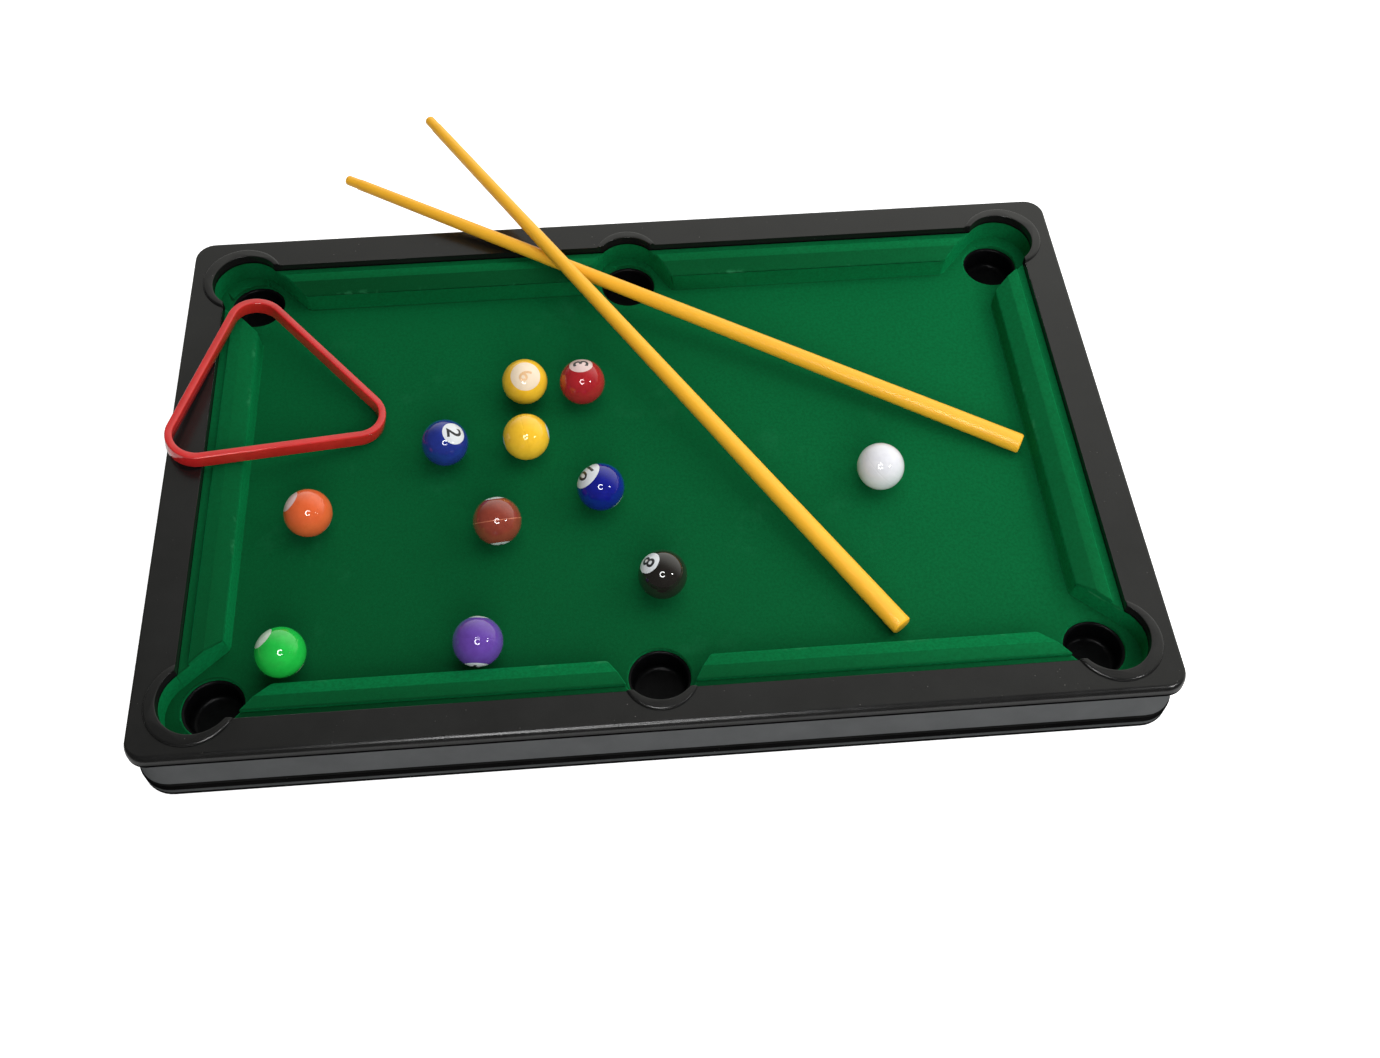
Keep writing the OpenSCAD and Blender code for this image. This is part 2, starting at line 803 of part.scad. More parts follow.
module ball(at) {
  translate([at.x * run_x, at.y * run_y, bed_z + rest_gap + ball_r])
    sphere(ball_r);
}

module ball_1() { color("#e6b532") ball(ball_1_at); }
module ball_2() { color("#23348c") ball(ball_2_at); }
module ball_3() { color("#b02a2f") ball(ball_3_at); }
module ball_4() { color("#6446a0") ball(ball_4_at); }
module ball_5() { color("#d75f2d") ball(ball_5_at); }
module ball_6() { color("#23b946") ball(ball_6_at); }
module ball_7() { color("#964132") ball(ball_7_at); }
module ball_8() { color("#282320") ball(ball_8_at); }
module ball_9() { color("#e6b532") ball(ball_9_at); }
module ball_10() { color("#14198c") ball(ball_10_at); }
module cue_ball() { color("#e8e8ec") ball(cue_ball_at); }

// Plan of a triangle with corners of radius r round the rack's corner centres
function rack_corner(k) = rack_side / sqrt(3) * [cos(90 + 120 * k), sin(90 + 120 * k)];
module rack_plan(r) {
  polygon([
    for (k = [0:2], s = [-60, 60])
      rack_corner(k) + r * [cos(90 + 120 * k + s), sin(90 + 120 * k + s)]
  ]);
  for (k = [0:2])
    translate(rack_corner(k))
      circle(r);
}

// The rack leans with one corner on the bed. Its tilt is the larger of the two that clear
// the left cushion's ridge and the left rail's edge
rack_x = -open_x + rack_from_rail;
rack_reach = max([for (k = [0:2])
  rack_side / sqrt(3) * cos(90 + 120 * k + rack_turn)]) + rack_in_r + rack_t;
function lean(run, rise, t = 10, n = 8) =
  n == 0 ? t : lean(run, rise, atan(rise / (run + rack_reach * cos(t))), n - 1);
rack_tilt = max(
  lean(rack_x + open_x - ridge_d, ridge_rise),
  lean(rack_x + open_x, rail_rise)
);

// Red triangle rack
module rack() {
  color("#be282d")
    translate([rack_x, rack_y, bed_z + rest_gap + rack_reach * sin(rack_tilt)])
      rotate([0, rack_tilt, 0])
        rotate([0, 0, rack_turn])
          linear_extrude(rack_h)
            difference() {
              rack_plan(rack_in_r + rack_t);
              rack_plan(rack_in_r);
            }
}

// Radius of a cue at distance s from its butt
function cue_r(s) = cue_butt_r + (cue_neck_r - cue_butt_r) * s / (cue_l - cue_tip_l);

// Turned cue along +X from its butt: shaft, small shoulder and rounded tip
module cue() {
  rotate([0, 90, 0])
    rotate_extrude($fn = 64)
      polygon(concat(
        [[0, 0], [cue_butt_r - cue_bevel, 0], [cue_r(cue_bevel), cue_bevel]],
        [[cue_neck_r, cue_l - cue_tip_l], [cue_tip_r, cue_l - cue_tip_l]],
        [for (i = [0:arc_steps])
          [cue_tip_r - cue_tip_end_r * (1 - cos(90 * i / arc_steps)),
           cue_l - cue_tip_end_r * (1 - sin(90 * i / arc_steps))]],
        [[0, cue_l]]
      ));
}

// Butts of the two cues in plan, and the height at which a butt lies on the bed
cue_a_at = [open_x - cue_a_from_end, -cue_a_y];
cue_b_at = [cue_b_x, -open_y + cue_b_from_side];
butt_z = bed_z + rest_gap + cue_butt_r;

// The lower cue leans on the far rail's inner edge
cue_a_run = (open_y - cue_a_at.y) / sin(cue_a_turn);
cue_a_lean = atan((rail_rise + cue_r(cue_a_run) * 1.002 - cue_butt_r) / cue_a_run);

// The upper cue leans on the lower one where they cross in plan
cross_turn = cue_a_turn - cue_b_turn;
cross_gap = cue_b_at - cue_a_at;
cross_a = (cross_gap.y * cos(cue_b_turn) - cross_gap.x * sin(cue_b_turn)) / sin(cross_turn);
cross_b = (cross_gap.y * cos(cue_a_turn) - cross_gap.x * sin(cue_a_turn)) / sin(cross_turn);
cross_rise = cross_a * tan(cue_a_lean) + (cue_r(cross_a) + cue_r(cross_b)) * 1.006 + rest_gap;
cue_b_lean = atan(cross_rise / cross_b);

module placed_cue(at, turn, up) {
  translate([at.x, at.y, butt_z])
    rotate([0, 0, turn])
      rotate([0, -up, 0])
        cue();
}

module cue_a() { color("#fcb42d") placed_cue(cue_a_at, cue_a_turn, cue_a_lean); }
module cue_b() { color("#fcb42d") placed_cue(cue_b_at, cue_b_turn, cue_b_lean); }

rail_frame();
playing_bed();
cushion_back_left();
cushion_back_right();
cushion_front_left();
cushion_front_right();
cushion_left();
cushion_right();
pocket_bay_back_left();
pocket_bay_back_middle();
pocket_bay_back_right();
pocket_bay_front_left();
pocket_bay_front_middle();
pocket_bay_front_right();
base_rim();
bottom_panel();
bed_ribs();
pocket_cup_back_left();
pocket_cup_back_middle();
pocket_cup_back_right();
pocket_cup_front_left();
pocket_cup_front_middle();
pocket_cup_front_right();
assembly_screws();
foot_pads();
ball_1();
ball_2();
ball_3();
ball_4();
ball_5();
ball_6();
ball_7();
ball_8();
ball_9();
ball_10();
cue_ball();
rack();
cue_a();
cue_b();
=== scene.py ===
import math

import bmesh
import bpy
from mathutils import Matrix, Vector


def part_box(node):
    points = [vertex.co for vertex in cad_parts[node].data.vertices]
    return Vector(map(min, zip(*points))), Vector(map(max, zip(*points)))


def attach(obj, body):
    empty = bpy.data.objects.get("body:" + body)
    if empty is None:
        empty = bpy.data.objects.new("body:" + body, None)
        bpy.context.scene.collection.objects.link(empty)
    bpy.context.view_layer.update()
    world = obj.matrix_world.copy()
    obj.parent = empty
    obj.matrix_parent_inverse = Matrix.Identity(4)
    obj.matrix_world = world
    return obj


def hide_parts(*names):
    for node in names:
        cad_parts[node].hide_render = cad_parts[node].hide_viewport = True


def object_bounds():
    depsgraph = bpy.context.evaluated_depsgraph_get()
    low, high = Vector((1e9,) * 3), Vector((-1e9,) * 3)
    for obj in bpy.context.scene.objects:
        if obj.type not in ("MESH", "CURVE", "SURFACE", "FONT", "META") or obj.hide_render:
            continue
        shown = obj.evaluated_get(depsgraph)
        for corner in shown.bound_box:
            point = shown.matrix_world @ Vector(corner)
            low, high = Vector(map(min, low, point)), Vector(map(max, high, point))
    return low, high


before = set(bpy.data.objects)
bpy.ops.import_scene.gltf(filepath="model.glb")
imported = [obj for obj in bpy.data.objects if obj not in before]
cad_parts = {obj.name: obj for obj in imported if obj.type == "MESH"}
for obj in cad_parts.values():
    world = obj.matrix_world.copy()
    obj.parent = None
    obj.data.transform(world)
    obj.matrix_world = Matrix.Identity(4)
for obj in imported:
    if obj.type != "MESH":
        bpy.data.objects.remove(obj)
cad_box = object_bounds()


# ---------------------------------------------------------------- Studio
# A white table top in a broad soft tent that brightens towards the back and right, under three
# big soft lamps, with a ring lamp round the viewer and a small weak lamp at its right.

MM = 0.001


def open_material(name):
    """A new material and its node tree, empty but for a Principled shader and the output."""
    mat = bpy.data.materials.new(name)
    mat.use_nodes = True
    return mat, mat.node_tree, mat.node_tree.nodes["Principled BSDF"]


def maths(tree, operation, a, b=0.0):
    """A Math node on two values, each a plain number or a socket."""
    m = tree.nodes.new("ShaderNodeMath")
    m.operation = operation
    for socket, value in zip(m.inputs, (a, b)):
        if isinstance(value, (int, float)):
            socket.default_value = value
        else:
            tree.links.new(value, socket)
    return m.outputs[0]


def white_surround(tree, colour, glow_seen):
    """Shades the table top as plain white for the camera, as a lit surface for the rest, and as
    nothing at all from below, so that the underside can be looked at."""
    n, l = tree.nodes, tree.links
    n.clear()
    out = n.new("ShaderNodeOutputMaterial")
    lit = n.new("ShaderNodeBsdfDiffuse")
    lit.inputs["Color"].default_value = (*colour, 1)
    glow = n.new("ShaderNodeEmission")
    glow.inputs["Color"].default_value = (*colour, 1)
    path = n.new("ShaderNodeLightPath")
    l.new(maths(tree, "MULTIPLY", path.outputs["Is Camera Ray"], glow_seen), glow.inputs["Strength"])
    both = n.new("ShaderNodeAddShader")
    l.new(lit.outputs[0], both.inputs[0])
    l.new(glow.outputs[0], both.inputs[1])
    below = n.new("ShaderNodeMixShader")
    l.new(n.new("ShaderNodeNewGeometry").outputs["Backfacing"], below.inputs["Fac"])
    l.new(both.outputs[0], below.inputs[1])
    l.new(n.new("ShaderNodeBsdfTransparent").outputs[0], below.inputs[2])
    l.new(below.outputs[0], out.inputs["Surface"])


half_floor = 6.0
floor_z = cad_box[0][2]
floor_mesh = bpy.data.meshes.new("floor")
floor_mesh.from_pydata(
    [(x * half_floor, y * half_floor, floor_z) for x, y in ((-1, -1), (1, -1), (1, 1), (-1, 1))],
    [], [(0, 1, 2, 3)])
floor = bpy.data.objects.new("floor", floor_mesh)
bpy.context.collection.objects.link(floor)
floor_white, tree, _ = open_material("floor_white")
white_surround(tree, (0.96, 0.96, 0.96), 0.75)
floor_mesh.materials.append(floor_white)


def soft_tent(tree, front, back, curve):
    """Light tent round the table, from a front strength at the viewer's side to a back strength
    at the far right. The camera itself sees all of it at a strength of 1."""
    n, l = tree.nodes, tree.links
    sky = n["Background"]
    sky.inputs["Color"].default_value = (1.0, 1.0, 0.94, 1)
    lean = n.new("ShaderNodeVectorMath")
    lean.operation = "DOT_PRODUCT"
    lean.inputs[1].default_value = (0.5, 1, 0)
    l.new(n.new("ShaderNodeTexCoord").outputs["Generated"], lean.inputs[0])
    rise = n.new("ShaderNodeMapRange")
    rise.interpolation_type = "SMOOTHSTEP"
    rise.inputs["From Min"].default_value = -0.3
    rise.inputs["From Max"].default_value = 1.1
    l.new(lean.outputs["Value"], rise.inputs["Value"])
    level = n.new("ShaderNodeMix")
    level.inputs["A"].default_value = front
    level.inputs["B"].default_value = back
    l.new(maths(tree, "POWER", rise.outputs["Result"], curve), level.inputs["Factor"])
    path = n.new("ShaderNodeLightPath")
    seen = n.new("ShaderNodeMix")
    seen.inputs["B"].default_value = 1.0
    l.new(path.outputs["Is Camera Ray"], seen.inputs["Factor"])
    l.new(level.outputs["Result"], seen.inputs["A"])
    l.new(seen.outputs["Result"], sky.inputs["Strength"])


world = bpy.data.worlds.new("surround")
bpy.context.scene.world = world
world.use_nodes = True
soft_tent(world.node_tree, 0.07, 1.3, 2.0)

# The viewer's eye, in millimetres, stands in front of the table and well above it. It looks
# down along an azimuth and an elevation in degrees.
eye = Vector((-22.7, -458.9, 682.8)) * MM
view_azimuth = -4.54
view_elevation = 54.29
view_roll = 0.2
camera_data = bpy.data.cameras.new("camera")
camera_data.lens = 38.32
camera_data.shift_x = 0.0163
camera_data.shift_y = -0.0669
camera = bpy.data.objects.new("camera", camera_data)
camera.location = eye
camera.rotation_euler = (
    Matrix.Rotation(math.radians(view_azimuth), 3, "Z")
    @ Matrix.Rotation(math.radians(90 - view_elevation), 3, "X")
    @ Matrix.Rotation(math.radians(view_roll), 3, "Z")).to_euler()
bpy.context.collection.objects.link(camera)
bpy.context.scene.camera = camera
bpy.context.scene.view_settings.view_transform = "Standard"


def ring_lamp(name, centre, aim, inner, outer, gap, strength):
    """Flat glowing ring with a gap of so many degrees at its right, facing aim. The camera looks
    through it, and only glossy faces show it."""
    facing = (aim - centre).to_track_quat("-Z", "Y").to_matrix()
    steps = 48
    open_half = math.radians(gap) / 2
    verts, quads = [], []
    for k in range(steps + 1):
        a = open_half + (2 * math.pi - 2 * open_half) * k / steps
        for r in (inner, outer):
            verts.append(centre + facing @ Vector((r * math.cos(a), r * math.sin(a), 0)))
    for k in range(steps):
        quads.append((2 * k, 2 * k + 1, 2 * k + 3, 2 * k + 2))
    mesh = bpy.data.meshes.new(name)
    mesh.from_pydata([tuple(v) for v in verts], [], quads)
    ring = bpy.data.objects.new(name, mesh)
    bpy.context.collection.objects.link(ring)
    glow, tree, _ = open_material(name + "_glow")
    tree.nodes.clear()
    out = tree.nodes.new("ShaderNodeOutputMaterial")
    lit = tree.nodes.new("ShaderNodeEmission")
    lit.inputs["Strength"].default_value = strength
    tree.links.new(lit.outputs[0], out.inputs["Surface"])
    mesh.materials.append(glow)
    ring.visible_diffuse = False


table_middle = Vector((0, 0, 20)) * MM
behind_eye = eye + (eye - table_middle).normalized() * 0.02
ring_lamp("ring_lamp", behind_eye, table_middle, 0.128, 0.178, 70, 26.0)


def disk_lamp(name, place, size, energy, mirrored=True):
    """Round lamp aimed at the middle of the table. One that isn't mirrored leaves no highlight."""
    data = bpy.data.lights.new(name, "AREA")
    data.shape = "DISK"
    data.size, data.energy = size, energy
    lamp = bpy.data.objects.new(name, data)
    lamp.location = place
    lamp.rotation_euler = (table_middle - lamp.location).to_track_quat("-Z", "Y").to_euler()
    lamp.visible_glossy = mirrored
    bpy.context.collection.objects.link(lamp)


disk_lamp("small_lamp", (0.62, -0.42, 0.6), 0.07, 0.9)
disk_lamp("side_lamp", (0.85, 0.1, 0.7), 0.7, 3.2, mirrored=False)
disk_lamp("front_lamp", (0.2, -1.2, 0.85), 1.1, 14.5, mirrored=False)
disk_lamp("top_lamp", (0.2, 0.3, 1.6), 1.4, 9.5, mirrored=False)


# ---------------------------------------------------------------- Rail frame
# The black surround is one injection moulding in tough plastic with a fine satin grain.
# It drops over the playing tray and is held down by screws from below.

same_place = 0.002 * MM
same_plane = math.radians(0.6)
sharp_edge = math.radians(28)
large_flat = 3000 * MM * MM


def flat_faces(mesh):
    """A mesh opened for editing, with its loose triangles joined back into flat faces."""
    bm = bmesh.new()
    bm.from_mesh(mesh)
    bmesh.ops.remove_doubles(bm, verts=bm.verts, dist=same_place)
    bmesh.ops.dissolve_limit(bm, angle_limit=same_plane, verts=bm.verts, edges=bm.edges)
    return bm


def clean_part(node):
    """Copy of a CAD piece, in flat faces."""
    bm = flat_faces(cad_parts[node].data)
    mesh = bpy.data.meshes.new(node + "_copy")
    bm.to_mesh(mesh)
    bm.free()
    piece = bpy.data.objects.new(node + "_copy", mesh)
    bpy.context.collection.objects.link(piece)
    return piece


def finished(piece):
    """Bakes a piece's modifiers into a plain mesh."""
    graph = bpy.context.evaluated_depsgraph_get()
    mesh = bpy.data.meshes.new_from_object(piece.evaluated_get(graph))
    piece.modifiers.clear()
    piece.data = mesh


def round_edges(piece, soften, widest, steps):
    """Rounds sharp edges by soften(middle of the edge in millimetres, edge), which gives a width
    in millimetres up to the widest, or 0. The piece is shaded smooth between the edges that stay
    sharp, and its large flat faces stay flat."""
    bm = flat_faces(piece.data)
    weight = bm.edges.layers.float.new("bevel_weight_edge")
    for f in bm.faces:
        f.smooth = True
    for e in bm.edges:
        if len(e.link_faces) != 2 or e.calc_face_angle(0) < sharp_edge:
            continue
        e.smooth = False
        wide = soften((e.verts[0].co + e.verts[1].co) / 2 / MM, e)
        if wide:
            e[weight] = wide / widest
            e.smooth = True
    bm.to_mesh(piece.data)
    bm.free()
    bevel = piece.modifiers.new("rounded", "BEVEL")
    bevel.width = widest * MM
    bevel.segments = steps
    bevel.limit_method = "WEIGHT"
    bevel.use_clamp_overlap = False
    bevel.harden_normals = True
    finished(piece)
    normals = [tuple(corner.vector) for corner in piece.data.corner_normals]
    for f in piece.data.polygons:
        if f.area > large_flat:
            for k in f.loop_indices:
                normals[k] = tuple(f.normal)
    piece.data.normals_split_custom_set(normals)


def moulded_copy(name, sources, soften, widest=1.0, steps=3):
    """CAD pieces fused into one seamless mesh, as the real moulding is, with rounded edges."""
    piece = clean_part(sources[0])
    for node in sources[1:]:
        part = clean_part(node)
        fuse = piece.modifiers.new("fuse", "BOOLEAN")
        fuse.operation, fuse.solver, fuse.object = "UNION", "EXACT", part
        finished(piece)
        bpy.data.objects.remove(part)
    piece.name = name
    round_edges(piece, soften, widest, steps)
    return piece


def object_point(tree):
    """Place on the piece, in metres."""
    return tree.nodes.new("ShaderNodeTexCoord").outputs["Object"]


def noise(tree, point, scale, detail=3, rough=0.55):
    """Noise value at a point."""
    tex = tree.nodes.new("ShaderNodeTexNoise")
    tex.inputs["Scale"].default_value = scale
    tex.inputs["Detail"].default_value = detail
    tex.inputs["Roughness"].default_value = rough
    tree.links.new(point, tex.inputs["Vector"])
    return tex.outputs["Fac"]


def spread(tree, value, low, high, from_low=0.3, from_high=0.7):
    """Stretches a value between two limits."""
    m = tree.nodes.new("ShaderNodeMapRange")
    m.inputs["From Min"].default_value = from_low
    m.inputs["From Max"].default_value = from_high
    m.inputs["To Min"].default_value = low
    m.inputs["To Max"].default_value = high
    tree.links.new(value, m.inputs["Value"])
    return m.outputs["Result"]


def blend_colour(tree, share, first, second):
    """Mixes two colours, each given as numbers or as a socket, by a share."""
    m = tree.nodes.new("ShaderNodeMix")
    m.data_type = "RGBA"
    tree.links.new(share, m.inputs["Factor"])
    for socket, c in ((m.inputs["A"], first), (m.inputs["B"], second)):
        if isinstance(c, tuple):
            socket.default_value = (*c, 1)
        else:
            tree.links.new(c, socket)
    return m.outputs["Result"]


def bumped(tree, shader, height, distance, strength=1.0):
    """Gives a shader a relief of a height times a distance in metres."""
    b = tree.nodes.new("ShaderNodeBump")
    b.inputs["Distance"].default_value = distance
    b.inputs["Strength"].default_value = strength
    tree.links.new(height, b.inputs["Height"])
    tree.links.new(b.outputs["Normal"], shader.inputs["Normal"])


def grain_group():
    """Moulded satin grain: a fine pebbled height, a slow gloss change and a few dust specks."""
    g = bpy.data.node_groups.new("moulded_grain", "ShaderNodeTree")
    g.interface.new_socket("Point", in_out="INPUT", socket_type="NodeSocketVector")
    for name in ("Grain", "Dust"):
        g.interface.new_socket(name, in_out="INPUT", socket_type="NodeSocketFloat")
    for name in ("Height", "Gloss", "Specks"):
        g.interface.new_socket(name, in_out="OUTPUT", socket_type="NodeSocketFloat")
    i = g.nodes.new("NodeGroupInput")
    o = g.nodes.new("NodeGroupOutput")
    pebble = g.nodes.new("ShaderNodeTexNoise")
    pebble.inputs["Detail"].default_value = 2
    g.links.new(i.outputs["Point"], pebble.inputs["Vector"])
    g.links.new(i.outputs["Grain"], pebble.inputs["Scale"])
    g.links.new(pebble.outputs["Fac"], o.inputs["Height"])
    gloss = noise(g, i.outputs["Point"], 38, 4, 0.6)
    g.links.new(spread(g, gloss, 0, 1), o.inputs["Gloss"])
    cells = g.nodes.new("ShaderNodeTexVoronoi")
    cells.inputs["Scale"].default_value = 260
    g.links.new(i.outputs["Point"], cells.inputs["Vector"])
    near = spread(g, cells.outputs["Distance"], 1, 0, 0.03, 0.09)
    where = spread(g, noise(g, i.outputs["Point"], 55, 2), 0, 1, 0.52, 0.62)
    specks = maths(g, "MULTIPLY", maths(g, "MULTIPLY", near, where), i.outputs["Dust"])
    g.links.new(specks, o.inputs["Specks"])
    return g


moulded_grain = grain_group()


def grained_plastic(name, colour, faded, rough_low, rough_high, grain, depth, dust):
    """Satin black plastic with a fine moulded grain and a little dust."""
    mat, tree, shader = open_material(name)
    g = tree.nodes.new("ShaderNodeGroup")
    g.node_tree = moulded_grain
    tree.links.new(object_point(tree), g.inputs["Point"])
    g.inputs["Grain"].default_value = grain
    g.inputs["Dust"].default_value = dust
    worn = blend_colour(tree, g.outputs["Gloss"], colour, faded)
    dusty = blend_colour(tree, g.outputs["Specks"], worn, (0.32, 0.31, 0.29))
    tree.links.new(dusty, shader.inputs["Base Color"])
    rough = spread(tree, g.outputs["Gloss"], rough_low, rough_high, 0, 1)
    tree.links.new(rough, shader.inputs["Roughness"])
    bumped(tree, shader, g.outputs["Height"], depth)
    return mat


def mirror_by_height(mat, low, high, at_low, at_high):
    """Lets a moulding's flat faces mirror more than its sides, whose mould was blasted duller."""
    tree = mat.node_tree
    split = tree.nodes.new("ShaderNodeSeparateXYZ")
    tree.links.new(object_point(tree), split.inputs[0])
    level = spread(tree, split.outputs["Z"], at_low, at_high, low * MM, high * MM)
    tree.links.new(level, tree.nodes["Principled BSDF"].inputs["Specular IOR Level"])


def height_band_group():
    """Share that is 1 between two heights, with soft blotches, and fades out within 0.1 mm."""
    g = bpy.data.node_groups.new("height_band", "ShaderNodeTree")
    g.interface.new_socket("Point", in_out="INPUT", socket_type="NodeSocketVector")
    for name in ("Low", "High"):
        g.interface.new_socket(name, in_out="INPUT", socket_type="NodeSocketFloat")
    g.interface.new_socket("Share", in_out="OUTPUT", socket_type="NodeSocketFloat")
    i = g.nodes.new("NodeGroupInput")
    o = g.nodes.new("NodeGroupOutput")
    split = g.nodes.new("ShaderNodeSeparateXYZ")
    g.links.new(i.outputs["Point"], split.inputs[0])
    above = spread(g, maths(g, "SUBTRACT", split.outputs["Z"], i.outputs["Low"]), 0, 1, -0.1 * MM, 0)
    below = spread(g, maths(g, "SUBTRACT", i.outputs["High"], split.outputs["Z"]), 0, 1, -0.1 * MM, 0)
    blotch = spread(g, noise(g, i.outputs["Point"], 60, 4, 0.6), 0.85, 1.0)
    g.links.new(maths(g, "MULTIPLY", maths(g, "MULTIPLY", above, below), blotch), o.inputs["Share"])
    return g


height_band = height_band_group()


def painted_light_and_finish_by_height(mat, low, high, colour, rough):
    """Gives the part of a moulding between two heights in millimetres another roughness, and a colour
    that paints light or shade there, as said where it is used.
    """
    tree = mat.node_tree
    shader = tree.nodes["Principled BSDF"]
    share = tree.nodes.new("ShaderNodeGroup")
    share.node_tree = height_band
    tree.links.new(object_point(tree), share.inputs["Point"])
    share.inputs["Low"].default_value = low * MM
    share.inputs["High"].default_value = high * MM
    plain = shader.inputs["Base Color"].links[0].from_socket
    tree.links.new(blend_colour(tree, share.outputs[0], plain, colour), shader.inputs["Base Color"])
    smooth = shader.inputs["Roughness"].links[0].from_socket
    mixed = tree.nodes.new("ShaderNodeMix")
    mixed.inputs["B"].default_value = rough
    tree.links.new(share.outputs[0], mixed.inputs["Factor"])
    tree.links.new(smooth, mixed.inputs["A"])
    tree.links.new(mixed.outputs["Result"], shader.inputs["Roughness"])


# Heights above the table's underside, half sizes and radii, in millimetres. What lies within the
# lip zone of the outline is the lip's.
rail_top = 37.2
lip_low = 31.7
skirt_low = 12
table_half_x, table_half_y = 255, 165
rail_corner = 11
lip_radius = 1.2
lip_zone = 5


def beyond(p, half_x, half_y, r):
    """Distance of a point outside a rounded rectangle, negative inside it."""
    x, y = abs(p.x) - (half_x - r), abs(p.y) - (half_y - r)
    return math.hypot(max(x, 0), max(y, 0)) + min(max(x, y), 0) - r


def rail_rounding(p, edge):
    """Fine radius under the lip, and on the edges round the opening, further in than the lip."""
    out = beyond(p, table_half_x, table_half_y, rail_corner)
    if abs(p.z - lip_low) < 0.05 and abs(out) < 0.3:
        return 0.5
    if edge.is_convex and p.z > rail_top - 0.1 and out < -lip_zone:
        return 0.4
    return 0


def full_lip(mesh, reach, drop):
    """Swells the small radius on the lip's upper edge, on the front side alone, to a quarter
    ellipse that reaches inwards and drops by so many millimetres."""
    for v in mesh.vertices:
        p = v.co / MM
        inward = -beyond(p, table_half_x, table_half_y, rail_corner)
        if p.z > rail_top - lip_radius - 0.1 and inward < lip_radius + 0.05:
            t = math.atan2(p.z - (rail_top - lip_radius), lip_radius - inward)
            x = max(abs(p.x) - (table_half_x - rail_corner), 0)
            y = max(abs(p.y) - (table_half_y - rail_corner), 0)
            far = math.hypot(x, y)
            front = y / far if p.y < 0 else 0
            wide = lip_radius + (reach - lip_radius) * front
            deep = lip_radius + (drop - lip_radius) * front
            push = (wide * (1 - math.cos(t)) - inward) * MM
            v.co.x -= math.copysign(push * x / far, p.x)
            v.co.y -= math.copysign(push * y / far, p.y)
            v.co.z = (rail_top - deep * (1 - math.sin(t))) * MM


rail_black = grained_plastic(
    "rail_black", (0.006, 0.006, 0.006), (0.009, 0.009, 0.009), 0.22, 0.27, 2400.0, 0.00001, 0.3)
# The skirt is rougher than the top, and its colour is lifted from black to grey as a painted
# reflection of the bright floor below it.
painted_light_and_finish_by_height(rail_black, skirt_low, lip_low - 0.3, (0.085, 0.088, 0.09), 0.55)
# The lip's outer side is painted darker than the rest of the black: painted shade for the dim
# surroundings it would mirror.
painted_light_and_finish_by_height(rail_black, lip_low - 0.2, 33.4, (0.0015, 0.0015, 0.0016), 0.3)
mirror_by_height(rail_black, 33.2, 35.2, 0.0, 0.5)
rail_frame = moulded_copy("rail_surround", ["rail_frame"], rail_rounding, widest=1.5, steps=6)
full_lip(rail_frame.data, 3.6, 5.2)
rail_frame.data.materials.append(rail_black)
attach(rail_frame, "table")
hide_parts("rail_frame")


# ---------------------------------------------------------------- Playing tray
# One vacuum-formed sheet: bed, hollow cushions, ledge and pocket bays. It is coated
# with short green flock, which brushes lighter and darker in patches and scuffs pale on the noses.
# Its colour also holds painted light, brighter towards the right, and a painted sheen at a slant.

POCKET_SIDES = ("back_left", "back_middle", "back_right", "front_left", "front_middle", "front_right")
bed_top = 19.2
nose_rise = 12
ledge_top = 32.4
opening_half_x, opening_half_y = 235, 145

flock, tree, shader = open_material("green_flock")
point = object_point(tree)
fibres = noise(tree, point, 3000, 2, 0.6)
tufts = noise(tree, point, 620, 3, 0.6)
brushed = noise(tree, point, 14, 3, 0.5)
height = tree.nodes.new("ShaderNodeSeparateXYZ")
tree.links.new(point, height.inputs[0])
# Painted light: the flock's colour grows lighter from left to right, standing in for the light that
# falls stronger on the right. The brushed patches on top of it are the flock's own tone.
painted_light_rightward = spread(tree, height.outputs["X"], 0, 1, -0.22, 0.22)
lay_and_painted_light = blend_colour(tree, painted_light_rightward, (0.0015, 0.038, 0.0105), (0.0034, 0.1, 0.03))
lay_and_painted_light = blend_colour(tree, spread(tree, brushed, 0, 0.3), lay_and_painted_light, (0.0026, 0.062, 0.018))
# Painted sheen: the flock's colour turns a brighter green where it is seen at a slant.
along = tree.nodes.new("ShaderNodeLayerWeight")
along.inputs["Blend"].default_value = 0.5
painted_sheen_share = spread(tree, along.outputs["Facing"], 0, 0.9, 0.05, 0.6)
pile_with_painted_sheen = blend_colour(tree, painted_sheen_share, lay_and_painted_light, (0.0025, 0.21, 0.062))
matted = blend_colour(tree, spread(tree, tufts, 0, 0.3, 0.4, 0.62), pile_with_painted_sheen, (0.002, 0.05, 0.014))
speckled = blend_colour(tree, spread(tree, fibres, 0, 0.25, 0.5, 0.75), matted, (0.008, 0.16, 0.05))
smudges = spread(tree, noise(tree, point, 24, 6, 0.68), 0, 0.13, 0.6, 0.74)
chalked = blend_colour(tree, smudges, speckled, (0.02, 0.2, 0.085))
above_nose = maths(tree, "SUBTRACT", height.outputs["Z"], (bed_top + nose_rise) * MM)
on_nose = spread(tree, maths(tree, "ABSOLUTE", above_nose), 1, 0, 0.2 * MM, 1.1 * MM)
patches = spread(tree, noise(tree, point, 40, 4, 0.7), 0, 0.5, 0.56, 0.66)
scuff = maths(tree, "MULTIPLY", on_nose, patches)
tree.links.new(blend_colour(tree, scuff, chalked, (0.04, 0.26, 0.11)), shader.inputs["Base Color"])
shader.inputs["Roughness"].default_value = 0.95
shader.inputs["Specular IOR Level"].default_value = 0.03
bumped(tree, shader, fibres, 0.00016, 0.8)


